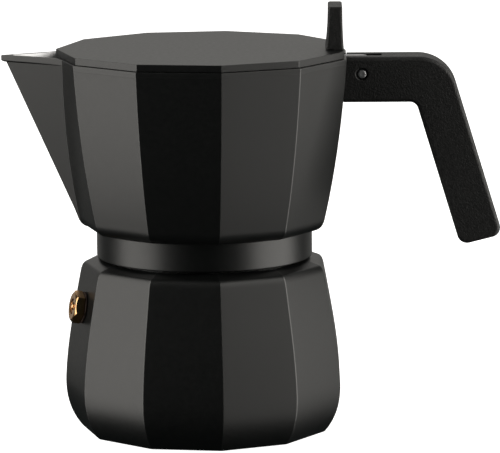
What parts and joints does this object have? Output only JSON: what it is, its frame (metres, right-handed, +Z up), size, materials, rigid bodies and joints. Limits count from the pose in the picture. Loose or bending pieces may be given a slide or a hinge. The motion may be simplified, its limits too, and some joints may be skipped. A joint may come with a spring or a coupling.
{
  "type": "moka pot",
  "caption": "Stovetop moka pot: faceted boiler with safety valve, screw-on upper chamber with V spout, flat hinged lid with upright knob, L-shaped handle.",
  "frame": {"origin": "middle of the boiler's flat base, on the surface that the pot stands on", "axes": "+Z up, +X along the handle, spout along -X, Y across"},
  "size_m": [0.1746, 0.1038, 0.1502],
  "materials": {
    "black_coat": "satin black coat on cast aluminium",
    "bare_aluminium": "satin, bare",
    "black_plastic": "moulded, fine grained",
    "steel": "plain",
    "dark_steel": "blackened pin",
    "brass": "turned",
    "gasket_rubber": "pale rubber",
    "fibre": "dark sealing washer"
  },
  "bodies": {
    "boiler_set": {"boiler": "black_coat", "valve_washer": "fibre", "valve_body": "brass", "valve_retainer": "brass", "valve_spring": "steel", "funnel_basket": "bare_aluminium", "funnel_tube": "bare_aluminium", "funnel_plate": "steel"},
    "valve_pin": {"valve_plunger": "brass"},
    "seal_set": {"gasket": "gasket_rubber", "filter_plate": "steel"},
    "chamber_set": {"upper_chamber": "black_coat", "coffee_column": "bare_aluminium", "handle": "black_plastic", "handle_screw": "steel", "hinge_pin": "dark_steel"},
    "lid_set": {"lid": "black_coat", "lid_bracket": "bare_aluminium", "knob": "black_plastic", "knob_screw_left": "steel", "knob_screw_right": "steel"}
  },
  "joints": [
    {"name": "valve_lift", "type": "slide", "parent": "boiler_set", "child": "valve_pin", "axis": [-0.9439, -0.2772, 0.1793], "range_m": [0, 0.0012], "stiffness_N_per_m": 100, "springref_m": -0.006, "deforming": ["valve_spring"]},
    {"name": "chamber_rise", "type": "slide", "parent": "boiler_set", "child": "seal_set", "axis": [0, 0, 1], "range_m": [0, 0.00432]},
    {"name": "chamber_turn", "type": "hinge", "parent": "seal_set", "child": "chamber_set", "pos_m": [0, 0, 0.0656], "axis": [0, 0, 1], "range_deg": [0, 516]},
    {"name": "lid_hinge", "type": "hinge", "parent": "chamber_set", "child": "lid_set", "pos_m": [0.0557, 0, 0.1264], "axis": [0, 1, 0], "range_deg": [0, 90]}
  ],
  "couplings": [
    {"joint": "chamber_rise", "follows": "chamber_turn", "m_per_rad": 0.00047746}
  ]
}
